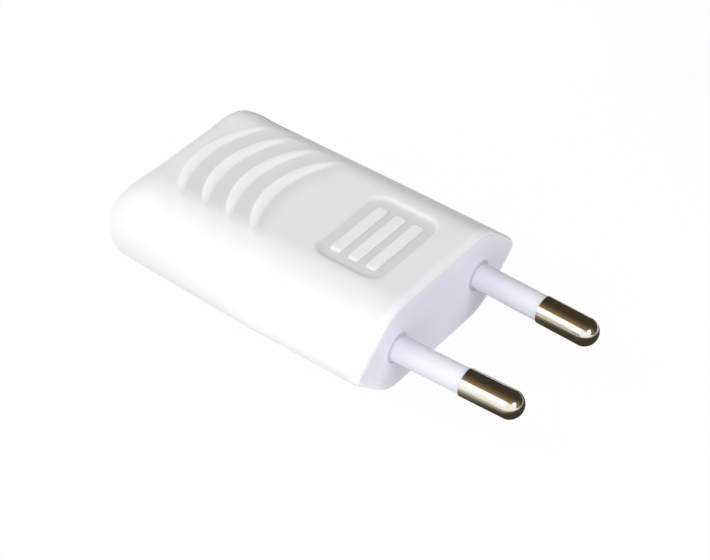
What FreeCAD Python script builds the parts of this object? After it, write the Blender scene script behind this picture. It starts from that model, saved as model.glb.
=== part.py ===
"""Flat two-pin mains plug that its user wires: hood, pin carrier, pins, terminals and cord clamp.

Millimetres. Every piece is drawn from the middle of the pin face, with +X out along the pins and +Z up,
and is then placed so that the origin is the middle of the plug's length, on the underside.
"""

import FreeCAD, Part
import math
import os

import Sketcher

SIZES = {
    # Outside of the hood. Widths are to the sharp corners, before they are rounded.
    "body_length": 45.9,
    "body_width": 37.4,
    "body_height": 14.4,
    "flat_width": 21.3,
    "crease_radius": 6.8,
    "ridge_radius": 1.45,
    "ridge_start": 17.4,
    "rear_flank": 0.5,
    "rear_edge_radius": 4.25,
    "nose_flat": 0.6,
    "nose_over": 1.0,
    "rim_edge_radius": 0.75,
    # Inside of the hood.
    "wall": 1.8,
    "rim_wall": 1.0,
    "mouth_radius": 0.6,
    "side_room": 27.2,
    "rear_wall": 5.0,
    "land_width": 8.0,
    "land_height": 0.75,
    "cord_hole": 6.0,
    "cord_lead": 0.6,
    # Finger grips: round ribs that follow an arc across the hood, raised on top and sunk into the underside.
    "grip_setback": 5.65,
    "grip_pitch": 4.11,
    "grip_count": 4,
    "grip_radius": 15.4,
    "grip_height": 0.45,
    "grip_width": 1.75,
    "grip_dip": 0.5,
    "grip_reach": 10.9,
    "grip_fade": 2.5,
    "grip_root": 0.8,
    "grip_step": 0.1,
    # Sunk label panel.
    "panel_setback": 5.2,
    "panel_length": 10.6,
    "panel_width": 14.8,
    "panel_radius": 2.2,
    "panel_depth": 0.45,
    "panel_edge": 0.3,
    # Contact pins and their sleeves.
    "pin_length": 19.0,
    "pin_diameter": 4.0,
    "pin_pitch": 18.6,
    "pin_tip_pitch": 17.5,
    "pin_dome": 1.7,
    "sleeve_length": 10.5,
    "sleeve_diameter": 3.66,
    "neck_diameter": 3.0,
    "sleeve_play": 0.01,
    "barrel_diameter": 5.2,
    "barrel_length": 9.0,
    "barrel_edge": 0.3,
    "wire_hole": 2.8,
    "wire_depth": 7.0,
    "terminal_place": 8.5,
    # Pin carrier.
    "plate_depth": 4.0,
    "plate_play": 0.05,
    "plate_edge": 0.15,
    "pin_hole_play": 0.16,
    "hole_edge": 0.15,
    "seat_play": 0.05,
    "seat_sink": 0.2,
    "tray_gap": 4.9,
    "tray_wall": 1.2,
    "tray_play": 0.25,
    "tray_rim": 1.0,
    "slide_play": 0.1,
    "saddle_place": 6.6,
    "saddle_thick": 1.6,
    "saddle_top": 0.6,
    "stop_thick": 1.4,
    "stop_top": 0.9,
    "divider_thick": 1.4,
    "divider_gap": 2.5,
    "divider_room": 0.6,
    # Screws.
    "thread_play": 0.02,
    "hole_play": 0.05,
    "pilot_spare": 0.5,
    "terminal_shank": 2.5,
    "terminal_length": 2.4,
    "clamp_shank": 2.2,
    "clamp_reach": 5.0,
    "clamp_head": 4.2,
    "clamp_head_height": 1.5,
    "head_edge": 0.3,
    "slot_width": 0.7,
    "slot_depth": 0.7,
    "housing_shank": 2.9,
    "housing_length": 7.4,
    "housing_head": 5.4,
    "housing_sink": 0.15,
    "housing_place": 19.5,
    "tip_length": 1.2,
    "tip_flat": 0.5,
    "recess_length": 3.0,
    "recess_width": 0.8,
    "recess_depth": 0.8,
    "housing_boss": 6.4,
    "housing_boss_top": 2.0,
    # Cord clamp.
    "clamp_setback": 4.0,
    "clamp_boss": 4.8,
    "clamp_boss_top": 0.2,
    "bar_length": 17.4,
    "bar_end": 2.4,
    "bar_width": 5.0,
    "bar_thick": 2.2,
    "bar_arch_width": 7.0,
    "bar_arch": 0.9,
    "bar_hole": 2.5,
    "bar_edge": 0.4,
    "tooth_width": 0.8,
    "tooth_height": 0.6,
    "tooth_length": 6.0,
    "tooth_pitch": 2.4,
}

doc = FreeCAD.newDocument("plug")
sheet = doc.addObject("Spreadsheet::Sheet", "dims")
for row, (alias, amount) in enumerate(SIZES.items(), start=1):
    sheet.set(f"A{row}", alias)
    sheet.set(f"B{row}", str(amount))
    sheet.setAlias(f"B{row}", alias)
doc.recompute()

# Lengths that several pieces share, as expressions of the sheet.
HALF_HEIGHT = "dims.body_height / 2"
LEAN = "((dims.body_width - dims.flat_width) / dims.body_height)"
SLANT = f"sqrt(1 + {LEAN} ^ 2)"
CREASE_CUT = f"dims.crease_radius * ({SLANT} - {LEAN})"
REAR_RIDGE = f"(({HALF_HEIGHT} * {SLANT} - {CREASE_CUT} - dims.rear_flank) / {LEAN})"
NOSE_RADIUS = f"({HALF_HEIGHT} - dims.nose_flat / 2)"
ORIGIN_X = "(dims.body_length - dims.pin_length) / 2"
PIN_ANGLE = "atan((dims.pin_pitch - dims.pin_tip_pitch) / 2 / dims.pin_length)"
TRAY_INSET = "(dims.wall + dims.tray_play)"
TRAY_SIDE = "(dims.side_room / 2 - dims.tray_play)"
TRAY_BASE = "(dims.body_height / 2 - dims.wall - dims.land_height - dims.slide_play)"
TRAY_FLOOR = f"({TRAY_BASE} - dims.tray_wall)"
TRAY_LENGTH = "(dims.body_length - dims.rear_wall - dims.tray_gap - dims.plate_depth)"
CLAMP_PLACE = f"({TRAY_LENGTH} + dims.plate_depth - dims.clamp_setback)"
CLAMP_PITCH = "(dims.bar_length - 2 * dims.bar_end)"
GRIP_FIRST = "(dims.body_length - dims.grip_setback - dims.grip_pitch * (dims.grip_count - 1))"
BARREL_FRONT = "(dims.plate_depth - dims.seat_sink)"
BARREL_REAR = f"({BARREL_FRONT} + dims.barrel_length)"
BAR_TOP = "(dims.clamp_boss_top + dims.bar_thick)"
DIVIDER_REAR = f"({CLAMP_PLACE} - dims.bar_width / 2 - dims.divider_gap)"
DIVIDER_TOP = f"({HALF_HEIGHT} - dims.wall - dims.divider_room)"


def number(text):
    """The present value of an expression of the sheet."""
    return float(sheet.evalExpression(str(text)))


def bind(thing, path, text):
    """Ties one property of a feature to the sheet."""
    thing.setExpression(path, str(text))


def new_body(name):
    """An empty piece, placed by the shared origin."""
    body = doc.addObject("PartDesign::Body", name)
    body.Label = name
    bind(body, "Placement.Base.x", ORIGIN_X)
    bind(body, "Placement.Base.z", HALF_HEIGHT)
    return body


def lean_with_pin(body, side):
    """Moves a piece drawn on a pin's own axis out to that pin, leaning in by the pin's angle."""
    axis = FreeCAD.Vector(0, 0, -side)
    body.Placement = FreeCAD.Placement(FreeCAD.Vector(), FreeCAD.Rotation(axis, 1.0))
    bind(body, "Placement.Base.x", ORIGIN_X)
    bind(body, "Placement.Base.y", f"{side} * dims.pin_pitch / 2")
    bind(body, "Placement.Base.z", HALF_HEIGHT)
    bind(body, "Placement.Rotation.Angle", PIN_ANGLE)


def origin_part(body, role):
    """One of the body's own origin planes or axes."""
    return next(part for part in body.Origin.OriginFeatures if part.Role == role)


def new_sketch(body, plane, name, lift=None):
    """A sketch on an origin plane of the body, moved along the plane's normal by an expression."""
    sketch = body.newObject("Sketcher::SketchObject", name)
    sketch.AttachmentSupport = [(origin_part(body, f"{plane}_Plane"), "")]
    sketch.MapMode = "FlatFace"
    if lift:
        bind(sketch, "AttachmentOffset.Base.z", lift)
    return sketch


def pin_point(sketch, shape, end, x, y):
    """Holds one point of a sketch at two distances from the sketch's origin."""
    for kind, axis, text in (("DistanceX", -2, x), ("DistanceY", -1, y)):
        if str(text) == "0":
            sketch.addConstraint(Sketcher.Constraint("PointOnObject", shape, end, axis))
            continue
        rule = Sketcher.Constraint(kind, -1, 1, shape, end, number(text))
        bind(sketch, f"Constraints[{sketch.addConstraint(rule)}]", text)


def draw_lines(sketch, points, guide):
    """A closed run of straight lines; returns the first one's index."""
    first = sketch.GeometryCount
    count = len(points)
    for i in range(count):
        sketch.addGeometry(Part.LineSegment(points[i], points[(i + 1) % count]), guide)
    for i in range(count):
        rule = Sketcher.Constraint("Coincident", first + i, 2, first + (i + 1) % count, 1)
        sketch.addConstraint(rule)
    return first


def outline(sketch, corners):
    """A closed outline, anticlockwise, through corners given as (x, y) or (x, y, radius)."""
    points = [FreeCAD.Vector(number(c[0]), number(c[1]), 0) for c in corners]
    rounded = any(len(c) > 2 for c in corners)
    first = draw_lines(sketch, points, rounded)
    for i, corner in enumerate(corners):
        pin_point(sketch, first + i, 1, corner[0], corner[1])
    if rounded:
        round_corners(sketch, points, corners, first)


def round_corners(sketch, points, corners, guide):
    """Draws the outline itself over its guide lines, with an arc at each corner that has a radius."""
    count = len(points)
    leave = []
    reach = []
    arcs = {}
    for i, corner in enumerate(corners):
        before = (points[i] - points[i - 1]).normalize()
        after = (points[(i + 1) % count] - points[i]).normalize()
        if len(corner) == 2:
            reach.append(points[i])
            leave.append(points[i])
            continue
        turn = math.atan2(before.x * after.y - before.y * after.x, before.dot(after))
        radius = number(corner[2])
        cut = radius * math.tan(abs(turn) / 2)
        reach.append(points[i] - before * cut)
        leave.append(points[i] + after * cut)
        inward = FreeCAD.Vector(-before.y, before.x, 0) * math.copysign(radius, turn)
        arcs[i] = (reach[i] + inward, radius, turn)
    lines = []
    for i in range(count):
        line = sketch.addGeometry(Part.LineSegment(leave[i], reach[(i + 1) % count]), False)
        lines.append(line)
        if len(corners[i]) > 2:
            sketch.addConstraint(Sketcher.Constraint("PointOnObject", line, 1, guide + i))
        if len(corners[(i + 1) % count]) > 2:
            sketch.addConstraint(Sketcher.Constraint("PointOnObject", line, 2, guide + i))
    for i in range(count):
        if i not in arcs:
            sketch.addConstraint(Sketcher.Constraint("Coincident", lines[i - 1], 2, lines[i], 1))
            sketch.addConstraint(Sketcher.Constraint("Coincident", lines[i], 1, guide + i, 1))
            continue
        centre, radius, turn = arcs[i]
        ends = [reach[i], leave[i]] if turn > 0 else [leave[i], reach[i]]
        angles = [math.atan2(end.y - centre.y, end.x - centre.x) for end in ends]
        circle = Part.Circle(centre, FreeCAD.Vector(0, 0, 1), radius)
        arc = sketch.addGeometry(Part.ArcOfCircle(circle, *angles), False)
        start, stop = (1, 2) if turn > 0 else (2, 1)
        sketch.addConstraint(Sketcher.Constraint("Tangent", lines[i - 1], 2, arc, start))
        sketch.addConstraint(Sketcher.Constraint("Tangent", arc, stop, lines[i], 1))
        rule = Sketcher.Constraint("Radius", arc, radius)
        bind(sketch, f"Constraints[{sketch.addConstraint(rule)}]", corners[i][2])


def round_spot(sketch, x, y, diameter):
    """A circle in a sketch."""
    centre = FreeCAD.Vector(number(x), number(y), 0)
    circle = Part.Circle(centre, FreeCAD.Vector(0, 0, 1), number(diameter) / 2)
    shape = sketch.addGeometry(circle, False)
    pin_point(sketch, shape, 3, x, y)
    rule = Sketcher.Constraint("Diameter", shape, number(diameter))
    bind(sketch, f"Constraints[{sketch.addConstraint(rule)}]", diameter)


def raise_from(body, kind, name, sketch, length, back=False, both=False):
    """A Pad or Pocket of a sketch by an expression."""
    feature = body.newObject(f"PartDesign::{kind}", name)
    feature.Profile = sketch
    feature.Reversed = back
    if both:
        feature.SideType = "Symmetric"
    bind(feature, "Length", length)
    doc.recompute()
    return feature


def turn_about(body, kind, name, sketch, axis, swing="360"):
    """A Revolution or Groove of a sketch about one of the sketch's own axes, half its swing to each side."""
    feature = body.newObject(f"PartDesign::{kind}", name)
    feature.Profile = sketch
    feature.ReferenceAxis = (sketch, [axis])
    feature.Midplane = True
    bind(feature, "Angle", swing)
    doc.recompute()
    return feature


def mirror(body, name, features, plane):
    """The same features again on the other side of an origin plane."""
    feature = body.newObject("PartDesign::Mirrored", name)
    feature.Originals = features
    feature.MirrorPlane = (origin_part(body, f"{plane}_Plane"), [""])
    body.Tip = feature
    doc.recompute()
    return feature


def soften(body, kind, name, base, size, wanted):
    """A Fillet or Chamfer on every edge of the base that the test accepts."""
    names = [f"Edge{i}" for i, edge in enumerate(base.Shape.Edges, start=1) if wanted(edge)]
    if not names:
        raise ValueError(f"{name}: no edge found")
    feature = body.newObject(f"PartDesign::{kind}", name)
    feature.Base = (base, names)
    bind(feature, "Radius" if kind == "Fillet" else "Size", size)
    doc.recompute()
    return feature


def all_at(edge, axis, place):
    """Does the whole edge lie at one place along an axis?"""
    box = edge.BoundBox
    low, high = {"x": (box.XMin, box.XMax), "y": (box.YMin, box.YMax), "z": (box.ZMin, box.ZMax)}[axis]
    return abs(low - place) < 1e-4 and abs(high - place) < 1e-4


def on_cord_mouth(edge):
    """Is the edge part of the cord hole's outer rim?"""
    radius = number("dims.cord_hole / 2")
    rim = number("dims.rear_wall / 2 - dims.body_length")
    for point in edge.discretize(5):
        if abs(math.hypot(point.y, point.z) - radius) > 1e-3 or point.x > rim:
            return False
    return True


def inset_width(inset):
    """Half the width across the ridges of the hood's section, drawn in by an expression."""
    return f"(dims.body_width / 2 - {inset} * {SLANT})"


def flank(inset, height):
    """How far out the drawn-in flank is at a height above or below the ridges."""
    return f"({inset_width(inset)} - ({height}) * {LEAN})"


def flank_height(inset, out):
    """The height at which the drawn-in flank is so far out."""
    return f"(({inset_width(inset)} - {out}) / {LEAN})"


def hexagon(inset, crease, ridge):
    """Corners of the hood's section, drawn in by an expression, with its two corner radii."""
    tall = f"({HALF_HEIGHT} - {inset})"
    wide = inset_width(inset)
    flat = flank(inset, tall)
    return [
        (wide, "0", ridge),
        (flat, tall, crease),
        (f"-{flat}", tall, crease),
        (f"-{wide}", "0", ridge),
        (f"-{flat}", f"-{tall}", crease),
        (flat, f"-{tall}", crease),
    ]


def make_hood():
    """The outer cover: a hexagonal sleeve closed at the rear, with grips, label panel and cord hole."""
    body = new_body("hood")
    section = new_sketch(body, "YZ", "front_section")
    outline(section, hexagon("0", "dims.crease_radius", "dims.ridge_radius"))
    raise_from(body, "Pad", "front_half", section, "dims.ridge_start", back=True)

    waist = new_sketch(body, "YZ", "waist_section", "-dims.ridge_start")
    outline(waist, hexagon("0", "dims.crease_radius", "dims.ridge_radius"))
    rear = new_sketch(body, "YZ", "rear_section", "-dims.body_length")
    outline(rear, hexagon("0", "dims.crease_radius", REAR_RIDGE))
    grown = body.newObject("PartDesign::AdditiveLoft", "rear_half")
    grown.Profile = waist
    grown.Sections = [rear]
    grown.Ruled = True
    doc.recompute()

    length = number("dims.body_length")
    rounded = soften(
        body, "Fillet", "rear_round", grown, "dims.rear_edge_radius", lambda e: all_at(e, "x", -length)
    )
    soften(body, "Fillet", "rim_round", rounded, "dims.rim_edge_radius", lambda e: all_at(e, "x", 0))
    make_nose(body)

    mouth = new_sketch(body, "YZ", "mouth_outline")
    outline(mouth, hexagon("dims.rim_wall", "(dims.crease_radius - dims.rim_wall)", "dims.mouth_radius"))
    raise_from(body, "Pocket", "mouth", mouth, "dims.plate_depth")

    room = new_sketch(body, "YZ", "room_outline")
    side = "dims.side_room / 2"
    low = flank_height("dims.wall", side)
    tall = f"({HALF_HEIGHT} - dims.wall)"
    flat = flank("dims.wall", tall)
    outline(
        room,
        [
            (side, f"-{low}"),
            (side, low),
            (flat, tall),
            (f"-{flat}", tall),
            (f"-{side}", low),
            (f"-{side}", f"-{low}"),
            (f"-{flat}", f"-{tall}"),
            (flat, f"-{tall}"),
        ],
    )
    raise_from(body, "Pocket", "room", room, "dims.body_length - dims.rear_wall")

    land = new_sketch(body, "YZ", "land_outline", "-dims.plate_depth")
    half = "dims.land_width / 2"
    outline(
        land,
        [
            (f"-{half}", f"-{tall}"),
            (half, f"-{tall}"),
            (half, f"-({tall} - dims.land_height)"),
            (f"-{half}", f"-({tall} - dims.land_height)"),
        ],
    )
    raise_from(
        body, "Pad", "screw_land", land, "dims.body_length - dims.rear_wall - dims.plate_depth", back=True
    )

    hole = new_sketch(body, "YZ", "cord_hole_outline", "-dims.body_length")
    round_spot(hole, "0", "0", "dims.cord_hole")
    entry = raise_from(body, "Pocket", "cord_entry", hole, "dims.rear_wall", back=True)
    soften(body, "Fillet", "cord_lead", entry, "dims.cord_lead", lambda e: on_cord_mouth(e))

    sink = new_sketch(body, "XZ", "screw_hole_profile")
    bind(sink, "AttachmentOffset.Base.x", "-dims.housing_place")
    shank = "(dims.housing_shank / 2 + dims.hole_play)"
    head = "(dims.housing_head / 2 + dims.hole_play)"
    seat = f"({HALF_HEIGHT} - dims.housing_sink)"
    outline(
        sink,
        [
            ("0", f"-({HALF_HEIGHT} + dims.hole_play)"),
            (head, f"-({HALF_HEIGHT} + dims.hole_play)"),
            (head, f"-{seat}"),
            (shank, f"-({seat} - ({head} - {shank}))"),
            (shank, f"-{TRAY_BASE}"),
            ("0", f"-{TRAY_BASE}"),
        ],
    )
    turn_about(body, "Groove", "screw_hole", sink, "V_Axis")

    make_grips(body, 1, "top_grip")
    fade_grips(body)
    make_grips(body, -1, "low_grip")
    make_panel(body)
    return body


def make_nose(body):
    """Rounds the rear end from the top over to the underside."""
    side = new_sketch(body, "XZ", "nose_outline")
    start = f"({NOSE_RADIUS} + dims.nose_over - dims.body_length)"
    over = f"({HALF_HEIGHT} + dims.nose_over)"
    back = "-(dims.body_length + dims.nose_over)"
    outline(
        side,
        [
            (start, f"-{HALF_HEIGHT}"),
            ("-dims.body_length", f"-{HALF_HEIGHT}", NOSE_RADIUS),
            ("-dims.body_length", HALF_HEIGHT, NOSE_RADIUS),
            (start, HALF_HEIGHT),
            (start, over),
            (back, over),
            (back, f"-{over}"),
            (start, f"-{over}"),
        ],
    )
    raise_from(body, "Pocket", "nose", side, "dims.body_width", both=True)


def make_grips(body, face, name):
    """A row of round ribs along arcs, raised on the top (face 1) or sunk into the underside (face -1)."""
    radius = "dims.grip_radius"
    sag = f"({radius} - sqrt({radius} ^ 2 - dims.grip_reach ^ 2))"
    bow = "((dims.grip_width ^ 2 / 4 + dims.grip_height ^ 2) / 2 / dims.grip_height)"
    middle = f"(dims.grip_width / 2 - {GRIP_FIRST})"
    level = f"({face} * {HALF_HEIGHT} + dims.grip_height - {bow})"
    section = new_sketch(body, "XZ", f"{name}_section")
    centre = FreeCAD.Vector(number(middle), number(level), 0)
    across = FreeCAD.Vector(number(bow), 0, 0)
    circle = Part.Circle(centre, FreeCAD.Vector(0, 0, 1), number(bow))
    arc = section.addGeometry(Part.ArcOfCircle(circle, 0, math.pi), False)
    chord = section.addGeometry(Part.LineSegment(centre - across, centre + across), False)
    section.addConstraint(Sketcher.Constraint("Coincident", arc, 2, chord, 1))
    section.addConstraint(Sketcher.Constraint("Coincident", arc, 1, chord, 2))
    section.addConstraint(Sketcher.Constraint("Horizontal", chord))
    pin_point(section, arc, 3, middle, level)
    pin_point(section, arc, 1, f"{middle} + {bow}", level)

    # The axis leans, so that the ribs sink into the hood towards their ends.
    foot = (f"{middle} + {radius}", f"{level} - {radius} * dims.grip_dip / {sag}")
    head = (f"{foot[0]} + dims.grip_dip", f"{foot[1]} + {sag}")
    ends = [FreeCAD.Vector(number(x), number(z), 0) for x, z in (foot, head)]
    axis = section.addGeometry(Part.LineSegment(*ends), True)
    pin_point(section, axis, 1, *foot)
    pin_point(section, axis, 2, *head)

    swing = f"2 * asin((dims.grip_reach - dims.grip_width / 2) / {radius})"
    kind = "Revolution" if face > 0 else "Groove"
    rib = turn_about(body, kind, f"{name}_rib", section, "Axis0", swing)
    row = body.newObject("PartDesign::LinearPattern", f"{name}_row")
    row.Originals = [rib]
    row.Direction = (origin_part(body, "X_Axis"), [""])
    row.Reversed = True
    bind(row, "Length", "dims.grip_pitch * (dims.grip_count - 1)")
    bind(row, "Occurrences", "dims.grip_count")
    body.Tip = row
    doc.recompute()


def fade_grips(body):
    """Slopes the ends of the raised ribs down into the hood's creases."""
    ends = new_sketch(body, "YZ", "grip_ends")
    reach = "dims.grip_reach"
    out = f"({reach} - (dims.flat_width / 2 - {CREASE_CUT}))"
    crease = f"({HALF_HEIGHT} - dims.crease_radius + sqrt(dims.crease_radius ^ 2 - {out} ^ 2))"
    low = f"({crease} + dims.grip_step)"
    crest = f"({HALF_HEIGHT} + dims.grip_height)"
    above = f"({crest} + dims.grip_root)"
    start = f"({reach} - dims.grip_fade)"
    stop = f"({reach} + dims.grip_fade)"
    corners = [(start, crest), (reach, low), (stop, low), (stop, above), (start, above)]
    outline(ends, corners)
    outline(ends, [(f"-{y}", z) for y, z in reversed(corners)])
    raise_from(body, "Pocket", "grip_fade", ends, "dims.body_length")


def make_panel(body):
    """The sunk panel for a label on the top flat."""
    panel = new_sketch(body, "XY", "panel_outline", HALF_HEIGHT)
    front = "-dims.panel_setback"
    rear = "-(dims.panel_setback + dims.panel_length)"
    half = "dims.panel_width / 2"
    radius = "dims.panel_radius"
    outline(
        panel,
        [(rear, f"-{half}", radius), (front, f"-{half}", radius), (front, half, radius), (rear, half, radius)],
    )
    sunk = raise_from(body, "Pocket", "panel", panel, "dims.panel_depth")
    top = number(HALF_HEIGHT)
    reach = number("dims.panel_setback + dims.panel_length") + 1e-3
    soften(
        body,
        "Chamfer",
        "panel_bevel",
        sunk,
        "dims.panel_edge",
        lambda e: all_at(e, "z", top) and -reach < e.BoundBox.XMin and e.BoundBox.XMax < -1,
    )


def make_carrier():
    """The insert that closes the hood's mouth and carries pins, terminals and cord clamp on a tray."""
    body = new_body("pin_carrier")
    inset = "(dims.rim_wall + dims.plate_play)"
    shape = new_sketch(body, "YZ", "plate_outline")
    crease = f"(dims.crease_radius - {inset})"
    outline(shape, hexagon(inset, crease, "(dims.mouth_radius - dims.plate_play)"))
    plate = raise_from(body, "Pad", "plate", shape, "dims.plate_depth", back=True)
    soften(body, "Chamfer", "plate_bevel", plate, "dims.plate_edge", lambda e: all_at(e, "x", 0))

    tray = new_sketch(body, "YZ", "tray_outline", "-dims.plate_depth")
    inner = f"({TRAY_INSET} + dims.tray_wall)"
    inner_side = f"({TRAY_SIDE} - dims.tray_wall)"
    outer_half = [
        (TRAY_SIDE, "dims.tray_rim"),
        (TRAY_SIDE, f"-{flank_height(TRAY_INSET, TRAY_SIDE)}"),
        (flank(TRAY_INSET, TRAY_BASE), f"-{TRAY_BASE}"),
    ]
    inner_half = [
        (flank(inner, TRAY_FLOOR), f"-{TRAY_FLOOR}"),
        (inner_side, f"-{flank_height(inner, inner_side)}"),
        (inner_side, "dims.tray_rim"),
    ]
    other_outer = [(f"-{y}", z) for y, z in reversed(outer_half)]
    other_inner = [(f"-{y}", z) for y, z in reversed(inner_half)]
    outline(tray, outer_half + other_outer + other_inner + inner_half)
    raise_from(body, "Pad", "tray", tray, TRAY_LENGTH, back=True)

    add_rib(body, "saddle", "dims.saddle_place", "dims.saddle_thick", "dims.saddle_top")
    add_rib(body, "stop", f"({BARREL_REAR} - dims.seat_sink)", "dims.stop_thick", "dims.stop_top")

    wall = new_sketch(body, "XZ", "divider_outline")
    back = f"-{DIVIDER_REAR}"
    foot = f"-({TRAY_FLOOR} + dims.tray_wall / 2)"
    outline(
        wall,
        [
            (back, foot),
            ("-dims.plate_depth", foot),
            ("-dims.plate_depth", DIVIDER_TOP),
            (back, DIVIDER_TOP),
        ],
    )
    raise_from(body, "Pad", "divider", wall, "dims.divider_thick", both=True)

    boss = new_sketch(body, "XY", "housing_boss_outline", f"-{TRAY_BASE}")
    round_spot(boss, "-dims.housing_place", "0", "dims.housing_boss")
    raise_from(body, "Pad", "housing_boss", boss, f"{TRAY_BASE} + dims.housing_boss_top")
    posts = new_sketch(body, "XY", "clamp_boss_outline", foot)
    for side in (1, -1):
        round_spot(posts, f"-{CLAMP_PLACE}", f"{side} * {CLAMP_PITCH} / 2", "dims.clamp_boss")
    raise_from(
        body, "Pad", "clamp_bosses", posts, f"{TRAY_FLOOR} + dims.tray_wall / 2 + dims.clamp_boss_top"
    )
    teeth = new_sketch(body, "XY", "cord_teeth_outline", f"-{TRAY_FLOOR}")
    for side in (1, -1):
        middle = f"({side} * dims.tooth_pitch / 2 - {CLAMP_PLACE})"
        box_spot(teeth, middle, "dims.tooth_width", "dims.tooth_length")
    raise_from(body, "Pad", "cord_teeth", teeth, "dims.tooth_height")

    seat = new_sketch(body, "XY", "pin_seat_profile")
    seat.AttachmentOffset = FreeCAD.Placement(
        FreeCAD.Vector(), FreeCAD.Rotation(FreeCAD.Vector(0, 0, -1), 1.0)
    )
    bind(seat, "AttachmentOffset.Base.y", "dims.pin_pitch / 2")
    bind(seat, "AttachmentOffset.Rotation.Angle", PIN_ANGLE)
    hole = "(dims.pin_diameter / 2 + dims.pin_hole_play)"
    room = "(dims.barrel_diameter / 2 + dims.seat_play)"
    end = f"-({BARREL_REAR} + dims.seat_play)"
    outline(
        seat,
        [
            ("dims.hole_edge", "0"),
            ("dims.hole_edge", f"{hole} + 2 * dims.hole_edge"),
            ("-dims.hole_edge", hole),
            (f"-{BARREL_FRONT}", hole),
            (f"-{BARREL_FRONT}", room),
            (end, room),
            (end, "dims.wire_hole / 2"),
            (f"{end} - dims.stop_thick", "dims.wire_hole / 2"),
            (f"{end} - dims.stop_thick", "0"),
        ],
    )
    cut = turn_about(body, "Groove", "pin_seat", seat, "H_Axis")
    mirror(body, "other_pin_seat", [cut], "XZ")

    pilot = new_sketch(body, "XY", "housing_pilot_outline", f"-{TRAY_BASE}")
    round_spot(pilot, "-dims.housing_place", "0", "dims.housing_shank + 2 * dims.thread_play")
    deep = f"dims.housing_length - {HALF_HEIGHT} + dims.housing_sink + {TRAY_BASE} + dims.pilot_spare"
    raise_from(body, "Pocket", "housing_pilot", pilot, deep, back=True)
    pilots = new_sketch(body, "XY", "clamp_pilot_outline", "dims.clamp_boss_top")
    for side in (1, -1):
        across = f"{side} * {CLAMP_PITCH} / 2"
        round_spot(pilots, f"-{CLAMP_PLACE}", across, "dims.clamp_shank + 2 * dims.thread_play")
    deep = "dims.clamp_reach - dims.bar_thick + dims.pilot_spare"
    raise_from(body, "Pocket", "clamp_pilots", pilots, deep)
    return body


def add_rib(body, name, place, thick, top):
    """A cross rib in the tray, from the floor up to a distance below the pins' axes."""
    rib = new_sketch(body, "YZ", f"{name}_outline", f"-{place}")
    inset = f"({TRAY_INSET} + dims.tray_wall / 2)"
    foot = f"({TRAY_FLOOR} + dims.tray_wall / 2)"
    side = f"({TRAY_SIDE} - dims.tray_wall / 2)"
    wide = f"min({side}; {flank(inset, top)})"
    knee = f"max({flank_height(inset, side)}; {top} + dims.slide_play)"
    low = flank(inset, foot)
    outline(
        rib,
        [
            (wide, f"-{top}"),
            (f"-{wide}", f"-{top}"),
            (f"-{wide}", f"-{knee}"),
            (f"-{low}", f"-{foot}"),
            (low, f"-{foot}"),
            (wide, f"-{knee}"),
        ],
    )
    raise_from(body, "Pad", name, rib, thick, back=True)


def box_spot(sketch, x, long, wide):
    """A rectangle in a sketch, centred on the X axis at a place along it."""
    near = f"({x} - {long} / 2)"
    far = f"({x} + {long} / 2)"
    half = f"({wide} / 2)"
    outline(sketch, [(near, f"-{half}"), (far, f"-{half}"), (far, half), (near, half)])


def make_pin(name, side):
    """A turned contact pin: domed tip, neck under the sleeve and a hollow terminal barrel."""
    body = new_body(name)
    shape = new_sketch(body, "XY", "pin_profile")
    radius = "dims.pin_diameter / 2"
    neck = "dims.neck_diameter / 2"
    barrel = "dims.barrel_diameter / 2"
    corners = [
        ("dims.pin_length - dims.pin_dome", radius),
        ("dims.sleeve_length", radius),
        ("dims.sleeve_length", neck),
        (f"-{BARREL_FRONT}", neck),
        (f"-{BARREL_FRONT}", barrel),
        (f"dims.barrel_edge - {BARREL_REAR}", barrel),
        (f"-{BARREL_REAR}", f"{barrel} - dims.barrel_edge"),
        (f"-{BARREL_REAR}", "0"),
        ("dims.pin_length", "0"),
    ]
    points = [FreeCAD.Vector(number(x), number(y), 0) for x, y in corners]
    for start, end in zip(points, points[1:]):
        shape.addGeometry(Part.LineSegment(start, end), False)
    last = len(corners) - 2
    for i in range(last):
        shape.addConstraint(Sketcher.Constraint("Coincident", i, 2, i + 1, 1))
    for i, (x, y) in enumerate(corners[:-1]):
        pin_point(shape, i, 1, x, y)
    pin_point(shape, last, 2, *corners[-1])
    dome = number("dims.pin_dome")
    ball = (number(radius) ** 2 + dome**2) / (2 * dome)
    centre = FreeCAD.Vector(number("dims.pin_length") - ball, 0, 0)
    circle = Part.Circle(centre, FreeCAD.Vector(0, 0, 1), ball)
    angle = math.atan2(points[0].y, points[0].x - centre.x)
    arc = shape.addGeometry(Part.ArcOfCircle(circle, 0, angle), False)
    shape.addConstraint(Sketcher.Constraint("Coincident", arc, 1, last, 2))
    shape.addConstraint(Sketcher.Constraint("Coincident", arc, 2, 0, 1))
    shape.addConstraint(Sketcher.Constraint("PointOnObject", arc, 3, -1))
    turn_about(body, "Revolution", "turned", shape, "H_Axis")

    wire = new_sketch(body, "YZ", "wire_hole_outline", f"-{BARREL_REAR}")
    round_spot(wire, "0", "0", "dims.wire_hole")
    raise_from(body, "Pocket", "wire_hole", wire, "dims.wire_depth", back=True)
    tapped = new_sketch(body, "XY", "tapped_hole_outline", barrel)
    round_spot(tapped, "-dims.terminal_place", "0", "dims.terminal_shank + 2 * dims.thread_play")
    raise_from(body, "Pocket", "tapped_hole", tapped, barrel)
    lean_with_pin(body, side)
    return body


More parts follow.
